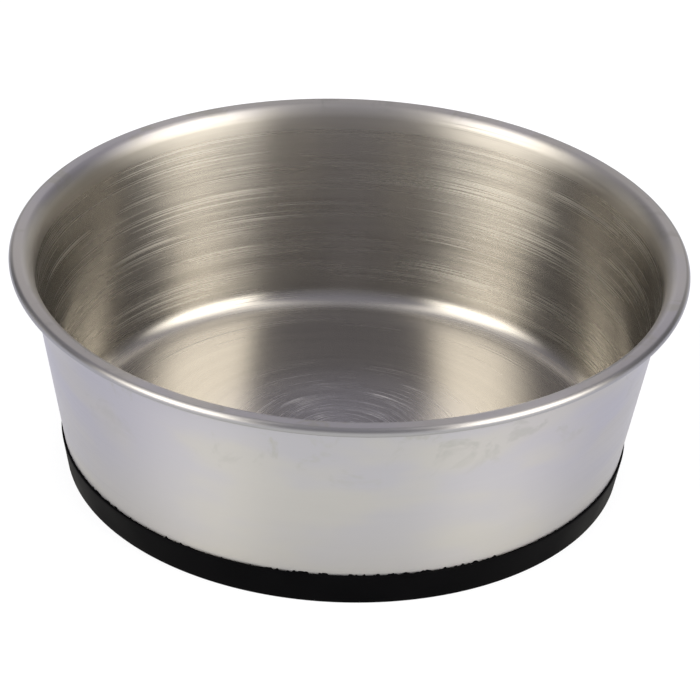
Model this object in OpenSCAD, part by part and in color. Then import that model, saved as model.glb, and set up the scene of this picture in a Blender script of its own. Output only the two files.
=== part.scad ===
// Stainless dog bowl with a rubber base.
// One deep-drawn sheet of steel, a moulded rubber ring round its foot, and the film that bonds them.
// Millimetres. The bowl stands on z = 0 and its axis is Z.

/* [Bowl] */
// Diameter over the outside of the lip
rim_d = 203.2; // [192:0.2:230]
// Height from the table to the top of the lip
bowl_h = 69.6; // [50:0.2:110]
// Diameter of the steel where the line of its wall meets its underside
base_d = 168; // [150:1:180]
// Thickness of the steel sheet
sheet_t = 1; // [0.7:0.1:1.4]
// Inside radius between the floor and the wall
floor_r = 7; // [4:0.5:10]

/* [Lip] */
// Distance that the lip stands out from the line of the wall
lip_w = 5.4; // [5:0.2:10]
// Radius of the flare that leads out of the wall, at its inner face
flare_r = 6; // [4.5:0.5:8]
// Radius of the turn from that flare to the top of the lip
turn_r = 3; // [2:0.25:3.5]
// Width of the hem that is turned back under the lip
hem_w = 3.2; // [2.4:0.1:3.8]
// Space left inside the fold of the hem
hem_gap = 1; // [0.4:0.1:1.2]

/* [Rubber base] */
// Height of the rubber up the outside of the bowl
rubber_h = 10.4; // [7:0.2:20]
// Thickness of the rubber on the wall
rubber_wall = 0.5; // [0.4:0.1:2]
// Thickness of the rubber under the steel
rubber_sole = 3.8; // [2:0.2:7]
// Width of the ring of rubber under the bowl
ring_w = 22; // [12:1:40]
// Rounding of the rubber's edges at the table
sole_edge_r = 0.8; // [0.4:0.1:1.6]
// Rounding of the rubber's upper edge
rubber_top_r = 0.3; // [0.1:0.05:0.4]

/* [Bond] */
// Thickness of the film that bonds the rubber to the steel
bond_t = 0.2; // [0.1:0.05:0.4]
// Distance that the film stops short of the rubber's edges
bond_inset = 0.4; // [0.2:0.1:1]

/* [Hidden] */
$fn = 180;
// How far the chords of a round stretch may lie inside its arc
arc_sag = 0.008;

// Line of the steel's outer face, from its underside to the top of the lip
rim_r = rim_d / 2;
under_z = rubber_sole + bond_t;
wall_lean = atan((rim_r - lip_w - base_d / 2) / (bowl_h - under_z));
function wall_x(z) = base_d / 2 + (z - under_z) * tan(wall_lean);

// Turn between the floor and the wall, about a centre inside the bowl
corner_r = floor_r + sheet_t;
corner_z = under_z + corner_r;
corner = [wall_x(corner_z) - corner_r / cos(wall_lean), corner_z];

// Flare and turn between the wall and the lip, about centres outside the bowl.
// The flare gives way to the turn where the sheet is tipped this many degrees from level.
turn_tilt = 45;
drop = flare_r - turn_r;
flare_z = bowl_h - turn_r - drop * cos(turn_tilt);
flare = [wall_x(flare_z) + (flare_r - sheet_t) / cos(wall_lean), flare_z];
turn = [flare[0] - drop * sin(turn_tilt), bowl_h - turn_r];

// Fold at the edge of the lip
hem_r = sheet_t + hem_gap / 2;
hem = [rim_r - hem_r, bowl_h - hem_r];
hem_in_x = rim_r - hem_w;

// Line of the rubber's outer face, and the inner edge of its ring
rubber_proud = bond_t + rubber_wall;
function face_x(z) = wall_x(z) + rubber_proud / cos(wall_lean);
ring_in_x = face_x(0) - ring_w;

// Centres of the roundings at the rubber's inner, outer and upper edges
toe = [ring_in_x + sole_edge_r, sole_edge_r];
heel = [face_x(sole_edge_r) - sole_edge_r / cos(wall_lean), sole_edge_r];
brow_z = rubber_h - rubber_top_r;
brow = [face_x(brow_z) - rubber_top_r / cos(wall_lean), brow_z];

// Ends of the bond film, under the bowl and up its wall
bond_in_x = ring_in_x + bond_inset;
bond_top_z = rubber_h - bond_inset;

// Points along an arc, from one direction to another
function arc(centre, r, from, to) =
    let (steps = ceil(abs(to - from) / (2 * acos(1 - arc_sag / r))))
    [for (i = [0 : steps]) let (a = from + (to - from) * i / steps) centre + r * [cos(a), sin(a)]];

// Points up the outside of the bowl, moved outward by a distance, from the underside to a height
function outside(grown, top_z) =
    let (r = corner_r + grown)
    let (tangent_z = corner_z - r * sin(wall_lean))
    top_z > tangent_z
        ? concat(arc(corner, r, -90, -wall_lean), [[wall_x(top_z) + grown / cos(wall_lean), top_z]])
        : arc(corner, r, -90, asin((top_z - corner_z) / r));

// Points from the wall up the flare and round the turn, at a depth under the inner face
function lip_curve(depth) = concat(
    arc(flare, flare_r - depth, 180 - wall_lean, 90 + turn_tilt),
    without_first(arc(turn, turn_r - depth, 90 + turn_tilt, 90))
);

function without_first(points) = [for (i = [1 : len(points) - 1]) points[i]];
function reversed(points) = [for (i = [len(points) - 1 : -1 : 0]) points[i]];

module bowl_shell() {
    color("silver") rotate_extrude() polygon(concat(
        [[0, under_z]],
        arc(corner, corner_r, -90, -wall_lean),
        lip_curve(sheet_t),
        arc(hem, hem_r - sheet_t, 90, -90),
        [[hem_in_x, hem[1] - hem_gap / 2], [hem_in_x, hem[1] - hem_r]],
        arc(hem, hem_r, -90, 90),
        reversed(lip_curve(0)),
        arc(corner, floor_r, -wall_lean, -90),
        [[0, under_z + sheet_t]]
    ));
}

module rubber_base() {
    color("black") rotate_extrude() polygon(concat(
        arc(toe, sole_edge_r, 180, 270),
        arc(heel, sole_edge_r, -90, -wall_lean),
        arc(brow, rubber_top_r, -wall_lean, 90),
        reversed(outside(bond_t, rubber_h)),
        [[ring_in_x, rubber_sole]]
    ));
}

module bond_layer() {
    color("dimgray") rotate_extrude() polygon(concat(
        [[bond_in_x, rubber_sole]],
        outside(bond_t, bond_top_z),
        reversed(outside(0, bond_top_z)),
        [[bond_in_x, under_z]]
    ));
}

bowl_shell();
rubber_base();
bond_layer();
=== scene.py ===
"""Looks of a stainless dog bowl with a rubber base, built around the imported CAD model. Metres."""

import math
from types import SimpleNamespace

import bpy
from mathutils import Matrix, Vector, noise


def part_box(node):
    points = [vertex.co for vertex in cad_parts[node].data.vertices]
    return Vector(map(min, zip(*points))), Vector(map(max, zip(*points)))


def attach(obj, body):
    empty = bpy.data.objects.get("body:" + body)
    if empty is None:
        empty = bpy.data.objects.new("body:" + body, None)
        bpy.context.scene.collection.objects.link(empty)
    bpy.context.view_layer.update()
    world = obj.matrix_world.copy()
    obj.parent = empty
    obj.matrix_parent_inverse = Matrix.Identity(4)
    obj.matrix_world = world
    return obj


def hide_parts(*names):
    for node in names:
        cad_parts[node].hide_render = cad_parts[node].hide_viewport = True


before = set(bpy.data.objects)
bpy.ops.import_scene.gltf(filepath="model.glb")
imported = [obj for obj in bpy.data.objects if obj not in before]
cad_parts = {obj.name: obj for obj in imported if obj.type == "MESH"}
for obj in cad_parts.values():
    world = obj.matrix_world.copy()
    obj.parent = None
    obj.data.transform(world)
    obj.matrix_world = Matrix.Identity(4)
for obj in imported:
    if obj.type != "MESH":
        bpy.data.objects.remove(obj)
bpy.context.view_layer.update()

MM = 0.001
QUARTER = math.pi / 2

# Heights that the boxes of the CAD model give
shell_low, shell_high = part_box("bowl_shell")
_, rubber_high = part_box("rubber_base")
TOP_Z = shell_high.z
UNDER_Z = shell_low.z
RUBBER_Z = rubber_high.z

# Sizes of the steel
RIM_R = 101.6 * MM
BASE_R = 84.0 * MM
SHEET = 1.0 * MM
FLOOR_R = 7.0 * MM
FLOOR_TOP = UNDER_Z + SHEET
FLARE_R = 6.0 * MM
TURN_R = 3.0 * MM
TURN_TILT = math.radians(45)
LIP_W = 5.4 * MM
HEM_W = 3.2 * MM
HEM_GAP = 1.0 * MM
LEAN = math.atan((RIM_R - LIP_W - BASE_R) / (TOP_Z - UNDER_Z))

# Sizes of the rubber and the film that bonds it
RUBBER_WALL = 0.5 * MM
BOND = 0.2 * MM
RING_W = 22.0 * MM
SOLE_EDGE_R = 0.8 * MM
RUBBER_TOP_R = 0.3 * MM

# Thin flash along the rubber's upper edge: its greatest height, half its thickness at its root,
# and the shares of its height that its outer, top and inner points rise by
FLASH_H = 0.7 * MM
FLASH_HALF_T = 0.05 * MM
FLASH_SHARES = [0.25, 1.0, 0.6]

# Noise that breaks up the flash round the bowl: how fine it is, its weight and its offset, for the long
# stretches, the single bits and their ragged edges, and what is taken off the sum
FLASH_NOISE = [(3.1, 1.6, 4.7), (70.0, 2.2, 1.3), (240.0, 0.6, 0.0)]
FLASH_TAKEN_OFF = 0.25

# Divisions round the axis
STEEL_SEGMENTS = 512
RUBBER_SEGMENTS = 1536

# Divisions along the section of the steel
FLOOR_STEPS = 18
FOOT_STEPS = 14
WALL_STEPS = 34
HIDDEN_STEPS = 8
BEAD_STEPS = 20
LIP_STEPS = 12
FILLET_STEPS = 16

# Divisions along the section of the rubber
EDGE_STEPS = 6
SOLE_STEPS = 16
FACE_STEPS = 8
SEAT_STEPS = 14

# Brush marks in the steel: widths of the scratches, of the coarser streaks and of the bands that the
# scratches stand in, and how deep the marks are
SCRATCH_W = 0.3 * MM
BRUSH_W = 1.4 * MM
BAND_W = 5.0 * MM
BRUSH_DEPTH = 0.04 * MM

# Zones of the finish and of painted light and shade, each between two radii or two heights where it comes or
# goes
# Radii of the lighter spun centre: partly its own spun finish, partly painted reflection
SPUN_AND_SHEEN_R = (16.0 * MM, 52.0 * MM)
SWIRL_R = (14.0 * MM, 54.0 * MM)
CALM_R = (34.0 * MM, 52.0 * MM)
BASIN_R = (BASE_R - 22.0 * MM, BASE_R - 8.0 * MM)
# Radii of the bead, which is smoother and carries painted shade that dims its highlight
BEAD_R = (RIM_R - 1.6 * MM, RIM_R - 0.8 * MM)
# Heights of the painted shade over the turn round the floor, which dims its highlight
FILLET_SHADE_FROM_Z = (FLOOR_TOP + 0.2 * MM, FLOOR_TOP + 1.5 * MM)
FILLET_SHADE_TO_Z = (FLOOR_TOP + 4.0 * MM, FLOOR_TOP + 8.0 * MM)
# Heights of a thin lighter band on the outside just above the rubber
LIGHT_LINE_Z = (RUBBER_Z + 0.5 * MM, RUBBER_Z + 1.5 * MM)
# Heights of the painted shade that makes the outside darker and warmer lower down, as if it mirrored the
# shadow on the floor
LOW_SHADE_Z = (TOP_Z - 25.0 * MM, RUBBER_Z)
SMUDGE_Z = (TOP_Z - 30.0 * MM, TOP_Z - 12.0 * MM)
LIP_Z = (TOP_Z - 9.0 * MM, TOP_Z - 2.0 * MM)

# Colours of the steel inside, with painted reflection in the spun centre and painted shade in the turn round
# the floor
BRUSHED_DARK = (0.43, 0.414, 0.385, 1)
BRUSHED_PALE = (0.458, 0.441, 0.41, 1)
# Spun centre, lighter and lavender: partly its own finish, partly painted reflection
SPUN_AND_SHEEN_COLOUR = (0.655, 0.65, 0.68, 1)
# Painted shade in the turn round the floor, darker to dim its highlight
FILLET_SHADE_COLOUR = (0.355, 0.343, 0.322, 1)

# Scale of the clouds on the steel outside along X, Y and Z, which makes them wider than high
CLOUD_SQUAT = (1.0, 1.0, 2.4)

# Colours of the steel outside, with painted shade lower down, and the painted shade that dims the highlight
# on its bead
CLOUD_WARM = (0.505, 0.491, 0.462, 1)
CLOUD_COOL = (0.475, 0.466, 0.483, 1)
# Painted shade: darker and warmer lower down on the outside
LOW_SHADE_COLOUR = (0.465, 0.453, 0.431, 1)
SMUDGE_COLOUR = (0.442, 0.433, 0.405, 1)
# Colour of the thin lighter band just above the rubber
LIGHT_LINE_COLOUR = (0.56, 0.55, 0.55, 1)
# Painted shade on the bead, darker to dim its highlight
BEAD_SHADE_COLOUR = (0.365, 0.36, 0.358, 1)

# Colours of the rubber and the adhesive, and the depth of the rubber's grain
RUBBER_DARK = (0.0015, 0.0015, 0.002, 1)
RUBBER_PALE = (0.003, 0.003, 0.0036, 1)
RUBBER_GRAIN = 0.03 * MM
ADHESIVE_DARK = (0.05, 0.05, 0.05, 1)
ADHESIVE_PALE = (0.13, 0.125, 0.12, 1)

# Camera, found by fitting the lip, the wall and the rubber to the photograph
VIEW_DISTANCE = 1.31934
VIEW_ELEVATION = math.radians(30.373)
VIEW_ROLL = math.radians(2.319)
VIEW_SHIFT_X = -0.00114
VIEW_SHIFT_Y = -0.030945
FRAME_WIDTH_PX = 700
FOCAL_PX = 4305.65
SENSOR_MM = 36.0

# Floor: half its width, how far it lies under the foot, and the radius that the foot covers
FLOOR_HALF = 12.0
FLOOR_DROP = 0.05 * MM
CONTACT_R = 83.0 * MM

# Floor: its colour and glow, and the painted shadow near the foot and painted shade beside the bowl that the
# steel sees in it
WHITE = (1, 1, 1, 1)
FLOOR_COLOUR = (0.19, 0.2, 0.215, 1)
FLOOR_GLOW = 0.86
# Painted shadow that the steel sees in the floor near the foot
PAINTED_SHADOW_R = (86.0 * MM, 116.0 * MM)
PAINTED_SHADOW_TONE = (0.86, 0.84, 0.79, 1)
# Painted shade that the steel sees in the floor beside the bowl, darker and bluer
PAINTED_SIDE_SHADE_X = (84.0 * MM, 108.0 * MM)
PAINTED_SIDE_SHADE_TONE = (0.82, 0.815, 0.925, 1)

# Studio lights: the side that each stands on, as seen from the front, and the bearings in degrees at
# which it begins, is full, begins to fade and is gone
RIGHT = 1.0
LEFT = -1.0
SIDE_LAMPS = ((RIGHT, 25, 40, 64, 96), (LEFT, 20, 39, 54, 89))
FAR_LAMPS = ((RIGHT, 124, 142, 158, 174), (LEFT, 96, 108, 114, 130), (LEFT, 138, 150, 158, 174))
SIDE_STRENGTH = 5.85

# Studio lights: how far they lean back, in degrees, between two heights in degrees
LAMP_LEAN = 18.0
LEAN_HEIGHTS = (5, 55)

# Studio lights: the far ones and the one straight behind, and where they come or go, in degrees
FAR_STRENGTH = 0.58
FAR_COLOUR = (1.0, 0.95, 0.88)
FAR_HEIGHTS = (13, 30)
BOOM_STRENGTH = 0.66
BOOM_COLOUR = (1.0, 0.95, 1.0)
BOOM_BEARINGS = (160, 173)
BOOM_FROM_HEIGHTS = (12, 20)
BOOM_TO_HEIGHTS = (29, 36)

# Studio: bearings in degrees between which its front gives way to its rear
REAR_BEARINGS = (55, 130)

# Studio: colours at heights in degrees
LAMP_LIGHT = (
    (0, (0.4, 0.38, 0.34)),
    (7, (0.5, 0.473, 0.423)),
    (16, (1.0, 0.945, 0.845)),
    (30, (0.9, 0.85, 0.76)),
    (52, (0.56, 0.53, 0.475)),
    (80, (0.1, 0.095, 0.085)),
)
REAR_LIGHT = (
    (3, (0.05, 0.05, 0.05)),
    (15, (0.2, 0.2, 0.2)),
    (32, (0.25, 0.24, 0.26)),
    (44, (0.43, 0.41, 0.46)),
    (56, (0.52, 0.5, 0.55)),
    (80, (0.48, 0.47, 0.5)),
)
FRONT_LIGHT = (
    (4, (0.75, 0.72, 0.74)),
    (13, (0.4, 0.39, 0.41)),
    (28, (0.34, 0.33, 0.35)),
    (40, (0.34, 0.33, 0.37)),
    (52, (0.42, 0.41, 0.48)),
    (80, (0.5, 0.49, 0.56)),
)


def wall_x(z):
    """Distance from the axis to the line of the steel's outer face."""
    return BASE_R + (z - UNDER_Z) * math.tan(LEAN)


def arc(centre, radius, start, end, steps):
    """Points of a section along an arc, between two directions in radians."""
    angles = [start + (end - start) * i / steps for i in range(steps + 1)]
    return [(centre[0] + radius * math.cos(a), centre[1] + radius * math.sin(a)) for a in angles]


def line(start, end, steps):
    """Points of a section along a line, without its two ends."""
    return [
        (start[0] + (end[0] - start[0]) * i / steps, start[1] + (end[1] - start[1]) * i / steps)
        for i in range(1, steps)
    ]


def foot_corner():
    """Centre and outer radius of the turn between the floor and the wall of the steel."""
    radius = FLOOR_R + SHEET
    z = UNDER_Z + radius
    return (wall_x(z) - radius / math.cos(LEAN), z), radius


def steel_outline():
    """Section of the sheet, from the axis under the bowl, round the hem, to the axis on the floor.

    With it come the numbers of the points where the bead ends and where the flat part of the wall begins.
    """
    corner, corner_r = foot_corner()
    drop = FLARE_R - TURN_R
    flare_z = TOP_Z - TURN_R - drop * math.cos(TURN_TILT)
    flare = (wall_x(flare_z) + (FLARE_R - SHEET) / math.cos(LEAN), flare_z)
    turn = (flare[0] - drop * math.sin(TURN_TILT), TOP_Z - TURN_R)
    tip = QUARTER + TURN_TILT
    hem_r = SHEET + HEM_GAP / 2
    hem = (RIM_R - hem_r, TOP_Z - hem_r)
    hem_in = RIM_R - HEM_W
    foot = arc(corner, corner_r, -QUARTER, -LEAN, FOOT_STEPS)
    flare_under = arc(flare, FLARE_R - SHEET, math.pi - LEAN, tip, HIDDEN_STEPS)
    turn_under = arc(turn, TURN_R - SHEET, tip, QUARTER, HIDDEN_STEPS)[1:]
    fold = arc(hem, hem_r - SHEET, QUARTER, -QUARTER, HIDDEN_STEPS)
    cut_edge = [(hem_in, hem[1] - HEM_GAP / 2), (hem_in, hem[1] - hem_r)]
    bead = arc(hem, hem_r, -QUARTER, QUARTER, BEAD_STEPS)
    turn_over = arc(turn, TURN_R, QUARTER, tip, LIP_STEPS)
    flare_over = arc(flare, FLARE_R, tip, math.pi - LEAN, LIP_STEPS)[1:]
    lip = turn_over + flare_over
    fillet = arc(corner, FLOOR_R, -LEAN, -QUARTER, FILLET_STEPS)
    centre = [(0.0, FLOOR_TOP)]
    points = [(0.0, UNDER_Z)]
    # Each run of points follows a straight stretch with this many divisions
    for steps, run in (
        (FLOOR_STEPS, foot),
        (WALL_STEPS, flare_under + turn_under),
        (1, fold),
        (1, cut_edge),
        (1, bead),
        (2, lip),
        (WALL_STEPS, fillet),
        (FLOOR_STEPS, centre),
    ):
        points += line(points[-1], run[0], steps) + run
    lip_start = points.index(lip[0])
    return points, lip_start, lip_start + len(lip) - 1


def rubber_outline():
    """Section of the rubber ring with its flash, and the share of the flash's height each point rises by."""
    lean_cos = math.cos(LEAN)

    def face_x(z):
        return wall_x(z) + (BOND + RUBBER_WALL) / lean_cos

    corner, corner_r = foot_corner()
    ring_in = face_x(0) - RING_W
    heel_x = face_x(SOLE_EDGE_R) - SOLE_EDGE_R / lean_cos
    brow_z = RUBBER_Z - RUBBER_TOP_R
    brow_x = face_x(brow_z) - RUBBER_TOP_R / lean_cos
    toe = arc((ring_in + SOLE_EDGE_R, SOLE_EDGE_R), SOLE_EDGE_R, 2 * QUARTER, 3 * QUARTER, EDGE_STEPS)
    heel = arc((heel_x, SOLE_EDGE_R), SOLE_EDGE_R, -QUARTER, -LEAN, EDGE_STEPS)
    brow = arc((brow_x, brow_z), RUBBER_TOP_R, -LEAN, QUARTER, EDGE_STEPS)
    root = wall_x(RUBBER_Z) + FLASH_HALF_T
    flash = [(root + FLASH_HALF_T, RUBBER_Z), (root, RUBBER_Z), (root - FLASH_HALF_T, RUBBER_Z)]
    meet = math.asin((RUBBER_Z - corner[1]) / (corner_r + BOND))
    seat = arc(corner, corner_r + BOND, meet, -QUARTER, SEAT_STEPS)
    points = toe + line(toe[-1], heel[0], SOLE_STEPS) + heel + line(heel[-1], brow[0], FACE_STEPS) + brow
    rises = [0.0] * len(points) + FLASH_SHARES
    points += flash + seat + [(ring_in, UNDER_Z - BOND)]
    rises += [0.0] * (len(points) - len(rises))
    return points, rises


def lathe(name, outline, segments, closed=False, shift=None):
    """A mesh turned round Z from a section. Points on the axis become poles.

    Shift gives how far a vertex moves, from its place and the number of its point in the section.
    """
    vertices, rings, owners = [], [], []
    for number, (x, z) in enumerate(outline):
        start = len(vertices)
        count = segments if x > 0.0 else 1
        for i in range(count):
            a = 2 * math.pi * i / segments
            vertex = Vector((x * math.cos(a), x * math.sin(a), z))
            vertices.append(vertex + shift(vertex, number) if shift else vertex)
            owners.append(number)
        rings.append([start + i % count for i in range(segments)])
    pairs = list(zip(rings, rings[1:]))
    if closed:
        pairs.append((rings[-1], rings[0]))
    faces = []
    for low, high in pairs:
        for i in range(segments):
            j = (i + 1) % segments
            corners = [low[i], low[j], high[j], high[i]]
            faces.append([c for k, c in enumerate(corners) if c not in corners[:k]])
    mesh = bpy.data.meshes.new(name)
    mesh.from_pydata([tuple(v) for v in vertices], [], faces)
    mesh.polygons.foreach_set("use_smooth", [True] * len(mesh.polygons))
    mesh.update()
    piece = bpy.data.objects.new(name, mesh)
    bpy.context.scene.collection.objects.link(piece)
    return piece, owners


def mark(piece, name, owners, values):
    """Stores a value of each point of the section on the vertices that were turned from it."""
    layer = piece.data.attributes.new(name, "FLOAT", "POINT")
    layer.data.foreach_set("value", [values[k] for k in owners])


class Nodes:
    """Short calls for building one node tree."""

    def __init__(self, tree):
        self.tree = tree
        tree.nodes.clear()

    def add(self, kind, inputs=None, **settings):
        node = self.tree.nodes.new(kind)
        for key, value in settings.items():
            setattr(node, key, value)
        for key, value in (inputs or {}).items():
            self.put(node.inputs[key], value)
        return node

    def put(self, socket, value):
        if isinstance(value, bpy.types.NodeSocket):
            self.tree.links.new(value, socket)
        else:
            socket.default_value = value

    def math(self, operation, *values):
        node = self.tree.nodes.new("ShaderNodeMath")
        node.operation = operation
        for socket, value in zip(node.inputs, values):
            self.put(socket, value)
        return node.outputs[0]

    def mix(self, factor, a, b):
        node = self.tree.nodes.new("ShaderNodeMix")
        node.data_type = "RGBA"
        self.put(node.inputs["Factor"], factor)
        self.put(node.inputs["A"], a)
        self.put(node.inputs["B"], b)
        return node.outputs["Result"]

    def remap(self, value, low, high, to_low=0.0, to_high=1.0, smooth=False):
        node = self.tree.nodes.new("ShaderNodeMapRange")
        node.interpolation_type = "SMOOTHSTEP" if smooth else "LINEAR"
        names = ("Value", "From Min", "From Max", "To Min", "To Max")
        for name, item in zip(names, (value, low, high, to_low, to_high)):
            self.put(node.inputs[name], item)
        return node.outputs["Result"]

    def ramp(self, value, stops):
        """A colour that runs through stops of (value, colour)."""
        node = self.tree.nodes.new("ShaderNodeValToRGB")
        elements = node.color_ramp.elements
        while len(elements) < len(stops):
            elements.new(0.5)
        for element, (place, colour) in zip(elements, stops):
            element.position = place
            element.color = (*colour, 1)
        self.put(node.inputs["Fac"], value)
        return node.outputs["Color"]

    def scale(self, colour, factor):
        return self.add("ShaderNodeVectorMath", {0: colour, "Scale": factor}, operation="SCALE").outputs[0]

    def plus(self, a, b):
        return self.add("ShaderNodeVectorMath", {0: a, 1: b}, operation="ADD").outputs[0]


def new_material(name):
    material = bpy.data.materials.new(name)
    material.use_nodes = True
    return material, Nodes(material.node_tree)


def set_material(piece, material):
    piece.data.materials.clear()
    piece.data.materials.append(material)


def steel_fields(n):
    """Places on the steel and the brush marks in it, from which its colour, roughness and bump are made."""
    place = n.add("ShaderNodeTexCoord").outputs["Object"]
    inner = n.add("ShaderNodeAttribute", attribute_name="inner").outputs["Fac"]
    run = n.add("ShaderNodeAttribute", attribute_name="run").outputs["Fac"]
    split = n.add("ShaderNodeSeparateXYZ", {"Vector": place})
    flat = n.add("ShaderNodeCombineXYZ", {"X": split.outputs["X"], "Y": split.outputs["Y"]}).outputs[0]
    around = n.add("ShaderNodeVectorMath", {0: flat}, operation="NORMALIZE").outputs[0]
    turn = n.add("ShaderNodeSeparateXYZ", {"Vector": around})
    radius = n.add("ShaderNodeVectorMath", {0: flat}, operation="LENGTH").outputs["Value"]

    def streaks(turns, width, seed):
        """Noise drawn out round the axis: turns sets how short its streaks are, width is in metres."""
        vector = n.add("ShaderNodeCombineXYZ", {
            "X": n.math("MULTIPLY", turn.outputs["X"], turns),
            "Y": n.math("MULTIPLY", turn.outputs["Y"], turns),
            "Z": n.math("MULTIPLY_ADD", run, 1 / width, seed),
        }).outputs[0]
        return n.add("ShaderNodeTexNoise", {
            "Vector": vector, "Scale": 1.0, "Detail": 1.0, "Roughness": 0.5,
        }).outputs["Fac"]

    return SimpleNamespace(
        place=place,
        height=split.outputs["Z"],
        radius=radius,
        inner=inner,
        fine=streaks(turns=1.0, width=SCRATCH_W, seed=3.0),
        coarse=streaks(turns=0.7, width=BRUSH_W, seed=170.0),
        band=streaks(turns=2.4, width=BAND_W, seed=50.0),
        basin=n.math("MULTIPLY", n.remap(radius, *BASIN_R, 1.0, 0.0), inner),
        bead=n.remap(radius, *BEAD_R, smooth=True),
        lip=n.remap(split.outputs["Z"], *LIP_Z, smooth=True),
    )


def steel_marks(n, steel):
    """How strongly brush marks show on the steel, and its scratches.

    Scratches stand together in bands, with more of them inside. The floor round its centre is calmer, and
    the centre has a swirl of its own.
    """
    calm = n.math("MULTIPLY", steel.basin, n.remap(steel.radius, *CALM_R, 0.0, 0.78, smooth=True))
    shown = n.math("SUBTRACT", 1.0, calm)
    scratches = n.math("MULTIPLY", n.remap(steel.fine, 0.56, 0.68), n.remap(steel.band, 0.45, 0.62))
    scratches = n.math("MULTIPLY", scratches, n.remap(steel.inner, 0, 1, 0.12, 1.0))
    scratches = n.math("MULTIPLY", scratches, shown)
    swirl_reach = n.remap(steel.radius, *SWIRL_R, 1.0, 0.0, smooth=True)
    swirl = n.math("MULTIPLY", n.remap(steel.fine, 0.5, 0.66), swirl_reach)
    swirl = n.math("MULTIPLY", swirl, n.math("MULTIPLY", steel.inner, 0.5))
    return shown, n.math("ADD", scratches, swirl)


def inside_colour(n, steel):
    """Brushed steel, lighter at the spun centre of the floor, partly as painted reflection, and with painted
    shade in the turn round the floor that dims its highlight.
    """
    colour = n.mix(n.remap(steel.coarse, 0.35, 0.65), BRUSHED_DARK, BRUSHED_PALE)
    # Lighter spun centre: partly its own finish, partly painted reflection
    centre = n.remap(steel.radius, *SPUN_AND_SHEEN_R, 0.9, 0.0, smooth=True)
    colour = n.mix(centre, colour, SPUN_AND_SHEEN_COLOUR)
    # Painted shade that darkens the turn round the floor to dim its highlight
    fillet = n.remap(steel.height, *FILLET_SHADE_FROM_Z, 0.0, 0.75, smooth=True)
    fillet = n.math("MULTIPLY", fillet, n.remap(steel.height, *FILLET_SHADE_TO_Z, 1.0, 0.0, smooth=True))
    return n.mix(fillet, colour, FILLET_SHADE_COLOUR)


def outside_colour(n, steel):
    """Satin steel, faintly clouded, with painted shade that makes it darker and warmer lower down, smudged
    near the lip and lighter in a thin band next to the rubber.
    """
    squat = n.add("ShaderNodeVectorMath", {0: steel.place, 1: CLOUD_SQUAT}, operation="MULTIPLY").outputs[0]
    cloud = n.add("ShaderNodeTexNoise", {"Vector": squat, "Scale": 26.0, "Detail": 2.5}).outputs["Fac"]
    smear = n.add("ShaderNodeTexNoise", {
        "Vector": steel.place, "Scale": 62.0, "Detail": 4.0, "Roughness": 0.65, "Distortion": 0.6,
    }).outputs["Fac"]
    colour = n.mix(n.remap(cloud, 0.38, 0.62, smooth=True), CLOUD_WARM, CLOUD_COOL)
    # Painted shade: the outside darker and warmer lower down
    colour = n.mix(n.remap(steel.height, *LOW_SHADE_Z, 0.0, 0.55), colour, LOW_SHADE_COLOUR)
    near_lip = n.math("MULTIPLY", n.remap(steel.height, *SMUDGE_Z), n.math("SUBTRACT", 1.0, steel.inner))
    smudge = n.math("MULTIPLY", n.remap(smear, 0.54, 0.64, smooth=True), near_lip)
    colour = n.mix(smudge, colour, SMUDGE_COLOUR)
    # A thin lighter band of the outside just above the rubber
    light_line = n.remap(steel.height, *LIGHT_LINE_Z, 0.6, 0.0, smooth=True)
    return n.mix(light_line, colour, LIGHT_LINE_COLOUR)


def steel_roughness(n, steel, scratches):
    """Smooth inside and smoothest on the floor, rougher over the lip, outside and along scratches."""
    rough = n.math("ADD", n.remap(steel.coarse, 0.3, 0.7, 0.23, 0.26), n.math("MULTIPLY", scratches, 0.2))
    rough = n.math("ADD", rough, n.remap(steel.fine, 0.3, 0.7, -0.02, 0.02))
    rough = n.math("MULTIPLY_ADD", steel.lip, n.remap(steel.inner, 0.1, 0.6, 0.1, 0.2), rough)
    outer_wall = n.math("SUBTRACT", 1.0, n.math("MAXIMUM", steel.inner, steel.lip))
    rough = n.math("MULTIPLY_ADD", outer_wall, 0.09, rough)
    rough = n.math("MULTIPLY_ADD", steel.bead, -0.02, rough)
    return n.math("MULTIPLY_ADD", steel.basin, -0.06, rough)


def steel_bump(n, steel, shown):
    """Brush marks as a bump, fainter outside."""
    height = n.math("MULTIPLY_ADD", steel.coarse, 0.32, n.math("MULTIPLY", steel.fine, 0.48))
    height = n.math("MULTIPLY", height, n.remap(steel.inner, 0, 1, 0.35, 1.0))
    height = n.math("MULTIPLY", height, shown)
    return n.add("ShaderNodeBump", {"Height": height, "Strength": 0.14, "Distance": BRUSH_DEPTH}).outputs[0]


def steel_material():
    """Stainless steel, brushed round the axis inside, and finer and satin outside."""
    material, n = new_material("brushed_stainless")
    steel = steel_fields(n)
    shown, scratches = steel_marks(n, steel)
    inward = n.remap(steel.inner, 0.4, 1.0, smooth=True)
    colour = n.mix(inward, outside_colour(n, steel), inside_colour(n, steel))
    # Painted shade on the bead, darker to dim its highlight
    colour = n.mix(steel.bead, colour, BEAD_SHADE_COLOUR)
    tangent = n.add("ShaderNodeTangent", direction_type="RADIAL", axis="Z").outputs[0]
    shader = n.add("ShaderNodeBsdfPrincipled", {
        "Base Color": colour,
        "Metallic": 1.0,
        "Roughness": steel_roughness(n, steel, scratches),
        "Normal": steel_bump(n, steel, shown),
        "Anisotropic": 0.85,
        "Anisotropic Rotation": 0.25,
        "Tangent": tangent,
    })
    n.add("ShaderNodeOutputMaterial", {"Surface": shader.outputs[0]})
    return material


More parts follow.
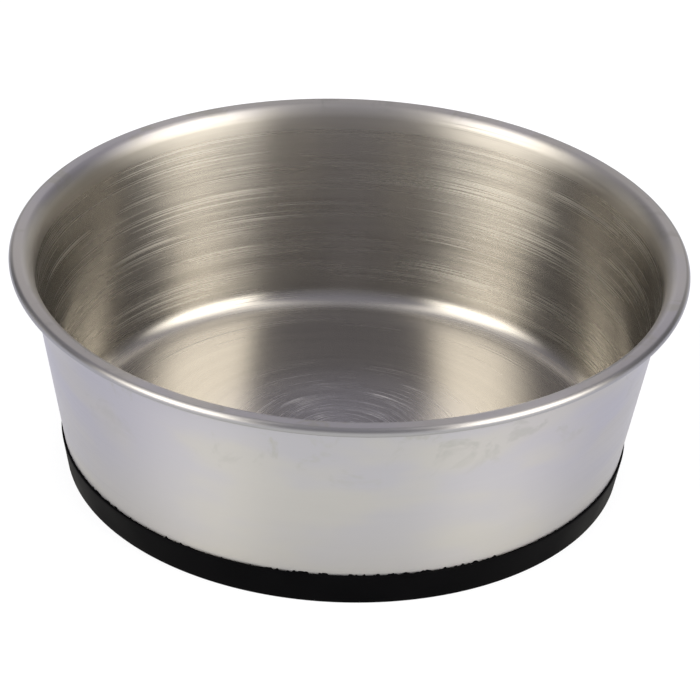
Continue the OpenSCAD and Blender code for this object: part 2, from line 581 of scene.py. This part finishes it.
def rubber_material():
    """Black moulded rubber with a fine grain."""
    material, n = new_material("black_rubber")
    place = n.add("ShaderNodeTexCoord").outputs["Object"]
    grain = n.add("ShaderNodeTexNoise", {"Vector": place, "Scale": 2600.0, "Detail": 3.0}).outputs["Fac"]
    cloud = n.add("ShaderNodeTexNoise", {"Vector": place, "Scale": 60.0, "Detail": 4.0}).outputs["Fac"]
    colour = n.mix(n.remap(cloud, 0.35, 0.7), RUBBER_DARK, RUBBER_PALE)
    rough = n.remap(cloud, 0.3, 0.7, 0.42, 0.58)
    bump = n.add("ShaderNodeBump", {"Height": grain, "Strength": 0.3, "Distance": RUBBER_GRAIN}).outputs[0]
    shader = n.add("ShaderNodeBsdfPrincipled", {
        "Base Color": colour, "Roughness": rough, "Normal": bump, "Specular IOR Level": 0.02,
    })
    n.add("ShaderNodeOutputMaterial", {"Surface": shader.outputs[0]})
    return material


def adhesive_material():
    """Cured grey adhesive with a faint mottle."""
    material, n = new_material("cured_adhesive")
    place = n.add("ShaderNodeTexCoord").outputs["Object"]
    cloud = n.add("ShaderNodeTexNoise", {"Vector": place, "Scale": 400.0, "Detail": 3.0}).outputs["Fac"]
    colour = n.mix(cloud, ADHESIVE_DARK, ADHESIVE_PALE)
    shader = n.add("ShaderNodeBsdfPrincipled", {"Base Color": colour, "Roughness": 0.45})
    n.add("ShaderNodeOutputMaterial", {"Surface": shader.outputs[0]})
    return material


def make_bowl():
    """The steel. It carries how far along the section a point lies, and how far in over the lip, 0 to 1."""
    outline, lip_start, lip_end = steel_outline()
    bowl, owners = lathe("steel_bowl", outline, STEEL_SEGMENTS)
    runs = [0.0]
    for a, b in zip(outline, outline[1:]):
        runs.append(runs[-1] + math.dist(a, b))
    inner = [min(max((k - lip_start) / (lip_end - lip_start), 0.0), 1.0) for k in range(len(outline))]
    mark(bowl, "run", owners, runs)
    mark(bowl, "inner", owners, inner)
    set_material(bowl, steel_material())
    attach(bowl, "root")
    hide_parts("bowl_shell")


def flash_amount(x, y):
    """How far the flash stands up at a bearing, 0 to 1: short ragged bits with clean stretches between."""
    around = Vector((x, y, 0.0)).normalized()
    amount = -FLASH_TAKEN_OFF
    for fineness, weight, offset in FLASH_NOISE:
        amount += weight * noise.noise(around * fineness + Vector((0.0, 0.0, offset)))
    return min(max(amount, 0.0), 1.0)


def make_rubber():
    """The rubber ring, with thin flash that leans with the wall along its upper edge."""
    outline, rises = rubber_outline()

    def shift(vertex, number):
        if rises[number] == 0.0:
            return Vector()
        rise = rises[number] * FLASH_H * flash_amount(vertex.x, vertex.y)
        away = Vector((vertex.x, vertex.y, 0.0)).normalized() * rise * math.tan(LEAN)
        return away + Vector((0.0, 0.0, rise))

    foot, _ = lathe("rubber_foot", outline, RUBBER_SEGMENTS, closed=True, shift=shift)
    set_material(foot, rubber_material())
    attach(foot, "root")
    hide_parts("rubber_base")


def make_camera():
    """The photograph's view: from the front and above, slightly rolled and off the axis."""
    e = VIEW_ELEVATION
    back = Vector((0.0, -math.cos(e), math.sin(e)))
    right = Vector((1.0, 0.0, 0.0))
    up = Vector((0.0, math.sin(e), math.cos(e)))
    place = VIEW_DISTANCE * back - VIEW_SHIFT_X * right - VIEW_SHIFT_Y * up
    c = math.cos(VIEW_ROLL)
    s = math.sin(VIEW_ROLL)
    rolled_right = c * right + s * up
    rolled_up = c * up - s * right
    data = bpy.data.cameras.new("camera")
    data.sensor_width = SENSOR_MM
    data.lens = FOCAL_PX / FRAME_WIDTH_PX * SENSOR_MM
    camera = bpy.data.objects.new("camera", data)
    bpy.context.scene.collection.objects.link(camera)
    axes = Matrix((rolled_right, rolled_up, back)).transposed().to_4x4()
    camera.matrix_world = Matrix.Translation(place) @ axes
    bpy.context.scene.camera = camera


def floor_material():
    """A pale floor that reads as white and keeps a soft shadow.

    The steel sees a painted shadow in it near the foot and painted shade beside the bowl. Seen from below it
    is clear inside the foot, so that the underside shows.
    """
    material, n = new_material("pale_floor")
    paths = n.add("ShaderNodeLightPath").outputs
    geometry = n.add("ShaderNodeNewGeometry").outputs
    place = geometry["Position"]
    reach = n.add("ShaderNodeVectorMath", {0: place}, operation="LENGTH").outputs["Value"]
    aside = n.math("ABSOLUTE", n.add("ShaderNodeSeparateXYZ", {"Vector": place}).outputs["X"])
    # Painted shadow, seen only in the steel: the floor darker near the foot
    painted_shade_tone = n.mix(n.remap(reach, *PAINTED_SHADOW_R, smooth=True), PAINTED_SHADOW_TONE, WHITE)
    # Painted shade, seen only in the steel: the floor darker and bluer beside the bowl
    painted_shade_tone = n.mix(n.remap(aside, *PAINTED_SIDE_SHADE_X, smooth=True), painted_shade_tone, PAINTED_SIDE_SHADE_TONE)
    tone = n.mix(paths["Is Camera Ray"], painted_shade_tone, WHITE)
    seen = n.math("MAXIMUM", paths["Is Camera Ray"], paths["Is Glossy Ray"])
    seen = n.math("MAXIMUM", seen, paths["Is Transmission Ray"])
    glow = n.add("ShaderNodeEmission", {"Color": tone, "Strength": n.math("MULTIPLY", seen, FLOOR_GLOW)})
    diffuse = n.add("ShaderNodeBsdfDiffuse", {"Color": FLOOR_COLOUR})
    both = n.add("ShaderNodeAddShader", {0: diffuse.outputs[0], 1: glow.outputs[0]})
    window = n.math("MULTIPLY", geometry["Backfacing"], n.math("LESS_THAN", reach, CONTACT_R))
    clear = n.add("ShaderNodeBsdfTransparent")
    sides = n.add("ShaderNodeMixShader", {"Fac": window, 1: both.outputs[0], 2: clear.outputs[0]})
    n.add("ShaderNodeOutputMaterial", {"Surface": sides.outputs[0]})
    return material


def make_floor():
    """A square floor that the bowl stands on. It is part of the stage and not of the bowl."""
    corners = [(-1, -1), (1, -1), (1, 1), (-1, 1)]
    mesh = bpy.data.meshes.new("floor")
    mesh.from_pydata([(x * FLOOR_HALF, y * FLOOR_HALF, -FLOOR_DROP) for x, y in corners], [], [(0, 1, 2, 3)])
    floor = bpy.data.objects.new("floor", mesh)
    bpy.context.scene.collection.objects.link(floor)
    set_material(floor, floor_material())


def make_world():
    """A dim studio with a tall soft light on either side, weak ones far back and one straight behind.

    Bearings are in degrees from the front and positive to the right, heights in degrees above the floor.
    """
    world = bpy.data.worlds.new("studio")
    bpy.context.scene.world = world
    world.use_nodes = True
    n = Nodes(world.node_tree)
    split = n.add("ShaderNodeSeparateXYZ", {"Vector": n.add("ShaderNodeTexCoord").outputs["Generated"]})
    turned = n.math("ADD", n.math("ARCTAN2", split.outputs["Y"], split.outputs["X"]), QUARTER)
    bearing = n.math("DEGREES", n.math("WRAP", turned, math.pi, -math.pi))
    off_front = n.math("ABSOLUTE", bearing)
    height = n.math("DEGREES", n.math("ARCSINE", split.outputs["Z"]))
    lean = n.remap(height, *LEAN_HEIGHTS, 0.0, LAMP_LEAN)

    def lamps(lights):
        """Sum of soft lights, each on one side between two bearings, that lean back with height."""
        total = 0.0
        for side, rise, full, wane, gone in lights:
            out = n.math("SUBTRACT", n.math("MULTIPLY", bearing, side), lean)
            waned = n.remap(out, wane, gone, 1.0, 0.0, smooth=True)
            lamp = n.math("MULTIPLY", n.remap(out, rise, full, smooth=True), waned)
            total = n.math("ADD", total, lamp)
        return total

    def light_over_height(stops):
        return n.ramp(n.math("DIVIDE", height, 90), [(degrees / 90, colour) for degrees, colour in stops])

    rear = n.remap(off_front, *REAR_BEARINGS, smooth=True)
    side = n.math("MULTIPLY", lamps(SIDE_LAMPS), SIDE_STRENGTH)
    far = n.math("MULTIPLY", lamps(FAR_LAMPS), n.remap(height, *FAR_HEIGHTS, FAR_STRENGTH, 0.0))
    boom = n.remap(off_front, *BOOM_BEARINGS, smooth=True)
    boom = n.math("MULTIPLY", boom, n.remap(height, *BOOM_FROM_HEIGHTS, smooth=True))
    boom = n.math("MULTIPLY", boom, n.remap(height, *BOOM_TO_HEIGHTS, BOOM_STRENGTH, 0.0, smooth=True))
    colour = n.scale(light_over_height(LAMP_LIGHT), side)
    colour = n.plus(colour, n.scale(FAR_COLOUR, far))
    colour = n.plus(colour, n.scale(light_over_height(REAR_LIGHT), rear))
    colour = n.plus(colour, n.scale(light_over_height(FRONT_LIGHT), n.math("SUBTRACT", 1.0, rear)))
    colour = n.plus(colour, n.scale(BOOM_COLOUR, boom))
    sky = n.add("ShaderNodeBackground", {"Color": colour, "Strength": 1.0})
    n.add("ShaderNodeOutputWorld", {"Surface": sky.outputs[0]})


make_camera()
make_world()
make_floor()
make_bowl()
make_rubber()
set_material(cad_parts["bond_layer"], adhesive_material())
bpy.context.scene.view_settings.view_transform = "Standard"
